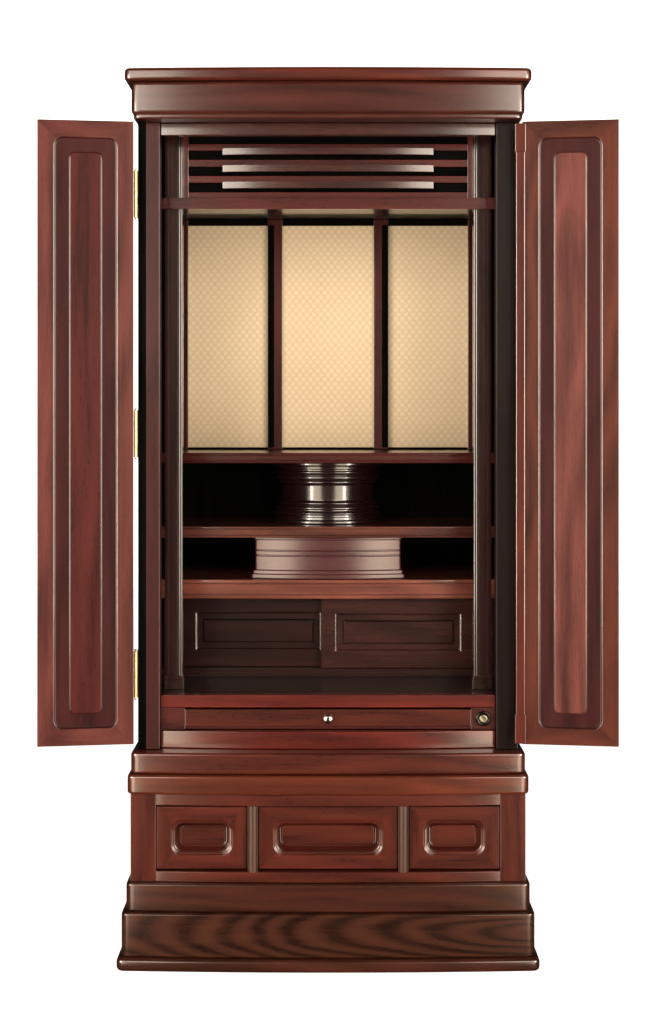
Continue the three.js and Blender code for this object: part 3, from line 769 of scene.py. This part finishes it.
slidingDoor = {"low": 401, "high": 512.6, "half": 261.4, "overlap": 10.7, "thick": 14,
               "fronts": {"left": 213, "right": 195}, "near": 12.8, "far": 208.5, "panelLow": 428.8,
               "panelHigh": 486, "ease": 0.8, "woods": {"left": "dark", "right": "umber"}}
slidingStops = ((-1.6, 0), (-1.2, 0), (-0.3, 0.5), (0.3, 1.2), (0.9, 4.6), (1.4, 5), (10.2, 5), (10.8, 4.9),
                (11.2, 3.2), (11.6, 1.9), (12.2, 1.3), (13.0, 1.2))
slidingLine = {"from": 9.6, "to": 11.8}  # the dark joint round the field


def makeSlidingDoors():
    look = slidingDoor
    for word, side in sides.items():
        front = look["fronts"][word]
        x0, x1 = sideSpan(side, -look["overlap"], look["half"])
        span = (x0, x1, look["low"], look["high"])
        x0, x1 = sideSpan(side, look["near"], look["far"])
        panel = (x0, x1, look["panelLow"], look["panelHigh"])
        stops = [(span, 0.4, front + look["thick"]), (span, 0.4, front + look["ease"]),
                 (inset(span, look["ease"]), 0.3, front)]
        stops += [(inset(panel, margin), 1.0, front + depth) for margin, depth in slidingStops]
        bm = bmesh.new()
        carve(bm, stops, 3)
        for face in bm.faces:
            spot = face.calc_center_median()
            nearest = min(spot.x - panel[0], panel[1] - spot.x, spot.z - panel[2], panel[3] - spot.z)
            face.material_index = int(slidingLine["from"] < nearest < slidingLine["to"])
        looks = [wood(look["woods"][word], "x", 100 + side), wood("black", "x", 100)]
        finishPiece(f"slide_door_{word}_wood", bm, looks, f"slide_{word}", [f"slide_door_{word}"])


makeSlidingDoors()
print("sliding doors made")

# Folding doors: each leaf is drawn closed, from its hinge line inwards, and then turned open

leaf = {"low": 321.5, "high": 1228.2, "face": -20, "back": -0.5, "edge": 3.4, "foldGap": 0.5,
        "width": 138.85, "pitch": 142.75, "hingeX": 282.5, "open": 171.3, "ease": 0.9, "frame": 24.4,
        # cove: the band inside the frame that is painted in the darker fourth wood, as shade in the cove
        "cove": 22, "woods": {"left": ("auburn", "red"), "right": ("maroon", "mahogany")}}
leafStops = (  # margin from the leaf's edge, corner radius and depth
    (23.2, 13.6, 0), (23.9, 13.1, 0.12), (24.5, 12.5, 0.55), (24.9, 12.1, 1.3), (25.3, 11.8, 3.2),
    (25.9, 11.3, 4.6), (27.2, 10.8, 5.0), (34, 10.2, 4.95), (42, 9.4, 4.9), (44.9, 9.1, 4.85),
    (45.3, 9.0, 4.75), (45.6, 8.9, 4.3), (45.9, 8.8, 3.4), (46.2, 8.7, 2.2), (46.5, 8.5, 1.3),
    (46.8, 8.3, 0.95), (47.2, 8.1, 0.82), (47.6, 8.0, 0.8))
astragal = {"over": 10.5, "on": 5.5, "front": -25.7, "back": -20.5, "low": 323, "high": 1225, "end": 42,
            "step": 1.4}


def turnAt(x, angle):
    return Matrix.Translation((x, 0, 0)) @ Matrix.Rotation(angle, 4, "Z")


def leafTurn(side, isInner):
    turn = turnAt(side * leaf["hingeX"], side * math.radians(leaf["open"]))
    return turn @ turnAt(-side * leaf["pitch"], math.pi) if isInner else turn


def makeLeaf(word, side, isInner):
    edge = leaf["foldGap"] if isInner else leaf["edge"]
    x0, x1 = sideSpan(-side, edge, edge + leaf["width"])
    span = (x0, x1, leaf["low"], leaf["high"])
    face, ease = leaf["face"], leaf["ease"]
    stops = [(inset(span, ease), 0.5, leaf["back"]), (span, 0.6, leaf["back"] - ease)]
    stops += easedFace(span, face, ease)
    stops += [(inset(span, margin), radius, face + depth) for margin, radius, depth in leafStops]
    bm = bmesh.new()
    carve(bm, stops)
    mitre(bm, span, leaf["frame"], leaf["cove"])
    bmesh.ops.transform(bm, matrix=leafTurn(side, isInner), verts=bm.verts)
    which = "inner" if isInner else "outer"
    seed = 110 + 4 * side + 2 * isInner
    border, field = leaf["woods"][word]
    # the fourth, darker wood paints the shade in the cove
    looks = [wood(border, "z", seed), wood(border, "x", seed), wood(field, "z", seed + 1),
             wood("claret", "z", seed)]
    finishPiece(f"door_{word}_{which}_wood", bm, looks, f"leaf_{word}_{which}", [f"door_{word}_{which}"])


def makeAstragal():
    meeting = leaf["foldGap"] + leaf["width"]
    look = astragal
    bm = bmesh.new()
    spans = ((look["step"], look["low"], look["high"]), (0, look["low"], look["low"] + look["end"]),
             (0, look["high"] - look["end"], look["high"]))
    for step, low, high in spans:
        x0, x1 = sideSpan(-1, meeting - look["on"] + step, meeting + look["over"] - step)
        addBlock(bm, x0, x1, look["front"] + step / 2, look["back"], low, high)
    soften(bm, 1.3, 3)
    bmesh.ops.transform(bm, matrix=leafTurn(1, True), verts=bm.verts)
    finishPiece("astragal_wood", bm, wood("rosewood", "z", 120), "leaf_right_inner", ["astragal"])


for word, side in sides.items():
    makeLeaf(word, side, False)
    makeLeaf(word, side, True)
makeAstragal()
print("folding doors made")

# Brass hinges: a knuckle of five barrels with a finial at each end, and one plate against the case

hinge = {"x": 282.5, "radius": 2.5, "length": 75, "near": 279.2, "plate": 1.2, "plateFront": 0.6,
         "plateDepth": 15, "barrels": 5, "finial": 3, "steps": 20,
         "lows": {"bottom": 382.7, "middle": 735.8, "top": 1087.4}}
finialStops = ((0, 0), (1.2, 0.2), (1.8, 1.2), (1.2, 2.4), (1.2, 3))  # radius, and height from the tip
barrelStops = ((0.5, 0.15), (0, 0.6))  # how far inside the radius, and how far from the barrel's end


def hingeProfile(low):
    radius, top = hinge["radius"], low + hinge["length"]
    pitch = (hinge["length"] - 2 * hinge["finial"]) / hinge["barrels"]
    points = [(out, low + height) for out, height in finialStops]
    for index in range(hinge["barrels"]):
        start = low + hinge["finial"] + index * pitch
        points += [(radius - cut, start + height) for cut, height in barrelStops]
        points += [(radius - cut, start + pitch - height) for cut, height in reversed(barrelStops)]
    return points + [(out, top - height) for out, height in reversed(finialStops)]


def spinProfile(bm, points, centre, axis, steps):
    # points are (radius, place along the axis)
    x, y, z = centre
    verts = [bm.verts.new((x + r, y, a) if axis == "z" else (x + r, a, z)) for r, a in points]
    edges = [bm.edges.new(pair) for pair in zip(verts, verts[1:])]
    bmesh.ops.spin(bm, geom=verts + edges, cent=centre, axis=[axis == name for name in "xyz"],
                   angle=2 * math.pi, steps=steps, use_merge=True)


def makeHinges():
    for word, side in sides.items():
        for height, low in hinge["lows"].items():
            bm = bmesh.new()
            spinProfile(bm, hingeProfile(low), (side * hinge["x"], 0, 0), "z", hinge["steps"])
            x0, x1 = sideSpan(side, hinge["near"], hinge["near"] + hinge["plate"])
            addBlock(bm, x0, x1, hinge["plateFront"], hinge["plateDepth"], low + hinge["finial"],
                     low + hinge["length"] - hinge["finial"])
            name = f"hinge_{word}_{height}"
            finishPiece(name + "_brass", bm, brass, stands=[name])


makeHinges()
print("hinges made")

# Pedestals

drum = {"depth": 305, "low": 626.8, "high": 724, "steps": 96}
drumFoot = (  # height above the foot and radius, mirrored under the top
    (0, 95), (0.5, 95.8), (1.4, 96), (3.6, 96), (4.6, 95.6), (5, 94.6), (5.6, 88.6), (6.4, 88), (9.6, 88),
    (10.4, 87.6), (11, 86.4), (13, 86.2), (13.6, 88.2), (14.4, 89.6), (15.8, 90), (17.2, 89.6), (18, 88.2),
    (18.6, 84.4), (19.4, 83.4), (21.4, 83.2), (22, 84.6), (23, 85.4), (24.6, 85.6), (26.2, 85), (27, 83.6),
    (27.6, 80), (29, 79.4), (29.8, 80.6), (31.2, 81.4), (32.8, 81.2), (34, 80), (34.8, 77.2), (36, 76.2),
    (38, 76))
stepPlan = {"half": 115, "front": 176, "back": 300, "bow": 17, "low": 543.7, "corner": 3, "round": 1.0,
            "thinRound": 0.5, "thin": 3}  # a ring lower than this is rounded less
stepRings = ((6, 0, 6.5), (3.5, 6.5, 12.5), (0, 12.5, 34.5), (-1, 34.5, 36), (0, 36, 42.5), (-1, 42.5, 44),
             (0, 44, 60.5), (2, 60.5, 64.2))  # how far it stands out, and its bottom and top above the shelf


def makePedestals():
    foot = [(radius, drum["low"] + height) for height, radius in drumFoot]
    head = [(radius, drum["high"] - height) for height, radius in reversed(drumFoot)]
    profile = [(0, drum["low"])] + foot + head + [(0, drum["high"])]
    bm = bmesh.new()
    spinProfile(bm, profile, (0, drum["depth"], 0), "z", drum["steps"])
    finishPiece("pedestal_upper_wood", bm, wood("drum", "x", 130), stands=["pedestal_upper"], angle=50)

    bm = bmesh.new()
    plan = stepPlan
    for grow, low, high in stepRings:
        look = {"half": plan["half"] + grow, "front": plan["front"] - grow, "bow": plan["bow"],
                "round": plan["thinRound"] if high - low < plan["thin"] else plan["round"]}
        addBowedBoard(bm, look, plan["low"] + low, plan["low"] + high, plan["back"], plan["corner"], 3)
    finishPiece("pedestal_lower_wood", bm, wood("plum", "x", 131), stands=["pedestal_lower"])


makePedestals()
print("pedestals made")

# The frame at the back of the altar, and the brocade panel behind it

backFrame = {"front": 392, "back": 404, "half": 236.2, "far": 101.5, "near": 77.3, "low": 745, "high": 1120,
             "outside": 261.7, "foot": 742, "top": 1129.4, "rib": 2.5, "ribWidth": 10.4, "ease": 0.9}
backPanel = {"half": 256, "front": 404.3, "back": 407.3, "low": 742, "high": 1127, "ease": 0.4}


def makeAltarBack():
    look = backFrame
    bm = bmesh.new()
    uprights = []
    for side in sides.values():
        uprights += [sideSpan(side, look["half"], look["outside"]), sideSpan(side, look["near"], look["far"])]
    for x0, x1 in uprights:
        addBlock(bm, x0, x1, look["front"], look["back"], look["foot"], look["top"])
    soften(bm, look["ease"])
    finishPiece("back_frame_uprights", bm, wood("red", "z", 140), stands=["back_frame"])

    # painted shade: black ribs on the outer side of the middle uprights
    bm = bmesh.new()
    for side in sides.values():
        x0, x1 = sideSpan(side, look["far"] - look["ribWidth"], look["far"])
        addBlock(bm, x0, x1, look["front"] - look["rib"], look["front"] - slip, look["low"], look["high"])
    soften(bm, look["ease"])
    finishPiece("back_frame_shaded_ribs", bm, wood("black", "z", 142), stands=["back_frame"])

    bm = bmesh.new()
    for low, high in ((look["foot"], look["low"]), (look["high"], look["top"])):
        for x0, x1 in ((-look["half"], -look["far"]), (-look["near"], look["near"]),
                       (look["far"], look["half"])):
            addBlock(bm, x0, x1, look["front"], look["back"], low, high)
    soften(bm, look["ease"])
    finishPiece("back_frame_rails", bm, wood("black", "x", 141), stands=["back_frame"])

    look = backPanel
    bm = bmesh.new()
    addBlock(bm, -look["half"], look["half"], look["front"], look["back"], look["low"], look["high"])
    soften(bm, look["ease"])
    finishPiece("back_panel_brocade", bm, brocade(), stands=["back_panel"])


makeAltarBack()
print("altar back made")

# Knob of the tray, and the round fitting at the right end of its line

trayKnob = {"x": 0, "front": 14, "z": 353, "profile": (  # radius, and how far it stands out
    (0, 0.3), (4.4, 0.3), (4.6, 0.8), (4.0, 1.5), (3.0, 2.2), (2.7, 3.4), (3.0, 4.6), (4.6, 5.2), (6.1, 6.2),
    (6.7, 7.6), (6.5, 9.0), (5.4, 10.2), (3.4, 10.8), (1.4, 11), (0, 11))}
switchKnob = {"x": 229, "front": 14, "z": 353, "ring": (
    (7.4, 0.3), (10.6, 0.3), (11.2, 0.8), (11.2, 1.9), (10.4, 2.9), (9.2, 3.2), (8.0, 2.9), (7.4, 2.2),
    (7.4, 0.3)), "button": (
    (0, 0.3), (7.2, 0.3), (7.2, 1.4), (6.6, 1.8), (6.2, 3.6), (5.6, 4.4), (4.6, 4.8), (3.6, 4.5), (0, 4.3))}
knobSteps = 32


def makeKnob(name, look, profile, material, body, stands):
    bm = bmesh.new()
    points = [(radius, look["front"] - reach) for radius, reach in profile]
    spinProfile(bm, points, (look["x"], 0, look["z"]), "y", knobSteps)
    finishPiece(name, bm, material, body, stands, angle=50)


blackMetal = metal("blackened_steel", (0.030, 0.026, 0.024), (0.012, 0.011, 0.010), 0.20)
oldBrass = metal("old_brass", (0.34, 0.30, 0.20), (0.10, 0.10, 0.08), 0.30)
makeKnob("tray_knob_steel", trayKnob, trayKnob["profile"], steel, "tray", ["tray_knob"])
makeKnob("switch_ring", switchKnob, switchKnob["ring"], blackMetal, "cabinet", ["switch_knob"])
makeKnob("switch_button", switchKnob, switchKnob["button"], oldBrass, "cabinet", ["switch_knob"])
print("knobs made")

# Floor, backdrop and lights, in metres

studio = {"reach": 6.0, "pale": (0.86, 0.86, 0.86), "cloud": 1.02, "rough": 0.9, "surround": 0.012}
sheets = {
    "floor": {"at": (0, 0, -0.001), "turn": 0, "glow": 0.72},
    "backdrop": {"at": (0, 5.2, 0), "turn": math.pi / 2, "glow": 1.0},
}


def paper(name, glow):
    material, tree, shader = newTree(name)
    place = addNode(tree, "TexCoord").outputs["Object"]
    cloudy = addNode(tree, "TexNoise", {"Vector": place, "Scale": 2}).outputs[0]
    lighter = tuple(c * studio["cloud"] for c in studio["pale"])
    tone = ramp(tree, cloudy, ((0.3, studio["pale"]), (0.7, lighter)))
    tree.links.new(tone, shader.inputs["Base Color"])
    shader.inputs["Roughness"].default_value = studio["rough"]
    shader.inputs["Emission Color"].default_value = (1, 1, 1, 1)
    shader.inputs["Emission Strength"].default_value = glow
    return material


def makeStudio():
    for name, look in sheets.items():
        bm = bmesh.new()
        bmesh.ops.create_grid(bm, x_segments=1, y_segments=1, size=studio["reach"])
        place = Matrix.Translation(look["at"]) @ Matrix.Rotation(look["turn"], 4, "X")
        bmesh.ops.transform(bm, matrix=place, verts=bm.verts)
        mesh = bpy.data.meshes.new(name)
        bm.to_mesh(mesh)
        bm.free()
        mesh.materials.append(paper(name + "_paper", look["glow"]))
        sheet = bpy.data.objects.new(name, mesh)
        sheet.visible_glossy = False
        bpy.context.scene.collection.objects.link(sheet)


warm, warmer = (1, 0.88, 0.74), (1, 0.82, 0.61)
soft, square, tall = (1.5, 1.2), (1.5, 1.5), (1.1, 1.6)
lamps = {  # "mirrored": False keeps a lamp out of the gloss, and "lit": False leaves it there only
    "softbox_left": {"at": (-1.35, -2.50, 1.45), "size": soft, "power": 52, "colour": warm},
    "softbox_right": {"at": (1.35, -2.50, 1.45), "size": soft, "power": 52, "colour": warm},
    "low_left": {"at": (-1.56, -2.50, 0.08), "size": square, "power": 42, "colour": warmer},
    "low_right": {"at": (1.56, -2.50, 0.08), "size": square, "power": 42, "colour": warmer},
    "front_fill": {"at": (0, -2.70, 1.00), "size": (1.6, 1.6), "power": 37, "colour": warm,
                   "mirrored": False},
    "side_left": {"at": (-2.40, -2.00, 0.90), "size": tall, "power": 190, "colour": warm, "lit": False},
    "side_right": {"at": (2.40, -2.00, 0.90), "size": tall, "power": 190, "colour": warm, "lit": False},
}


def makeLamps():
    for name, lamp in lamps.items():
        data = bpy.data.lights.new(name, "AREA")
        data.shape = "RECTANGLE"
        data.size, data.size_y = lamp["size"]
        data.energy = lamp["power"]
        data.color = lamp["colour"]
        light = bpy.data.objects.new(name, data)
        light.location = lamp["at"]
        across, along, _ = lamp["at"]
        light.rotation_euler = Vector((-across, -along, 0)).to_track_quat("-Z", "Y").to_euler()
        light.visible_glossy = lamp.get("mirrored", True)
        light.visible_diffuse = lamp.get("lit", True)
        light.visible_camera = False
        bpy.context.scene.collection.objects.link(light)
    world = bpy.data.worlds.new("studio")
    world.use_nodes = True
    tree = world.node_tree
    seen = addNode(tree, "LightPath").outputs["Is Camera Ray"]  # it looks white but lights very little
    tree.nodes["Background"].inputs[0].default_value = (1, 1, 1, 1)
    tree.links.new(calc(tree, "MAXIMUM", seen, studio["surround"]), tree.nodes["Background"].inputs[1])
    bpy.context.scene.world = world


makeStudio()
makeLamps()
print("studio made")
